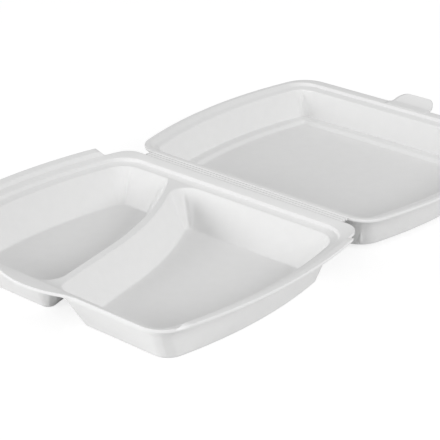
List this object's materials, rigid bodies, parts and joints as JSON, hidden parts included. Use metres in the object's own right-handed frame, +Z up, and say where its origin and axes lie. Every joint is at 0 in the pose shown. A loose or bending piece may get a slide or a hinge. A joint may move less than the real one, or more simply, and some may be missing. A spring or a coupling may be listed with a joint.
{
  "type": "foam clamshell container",
  "caption": "Hinged foam takeaway box, open: a tray with a slanted divider between two compartments, and a lid with a front tab.",
  "frame": {"origin": "centre of the open container's footprint, on the surface it rests on", "axes": "+X along the hinge, to the tray's right side; +Y from the tray's front edge across the hinge to the lid; +Z up"},
  "size_m": [0.25, 0.4244, 0.0342],
  "materials": {
    "foam": "white expanded polystyrene sheet with a faint moulded skin"
  },
  "bodies": {
    "base": {"base_tray": "foam"},
    "lid": {"lid": "foam"}
  },
  "joints": [
    {"name": "lid_hinge", "type": "hinge", "parent": "base", "child": "lid", "pos_m": [0, -0.00905, 0.03015], "axis": [1, 0, 0], "range_deg": [0, 180]}
  ]
}
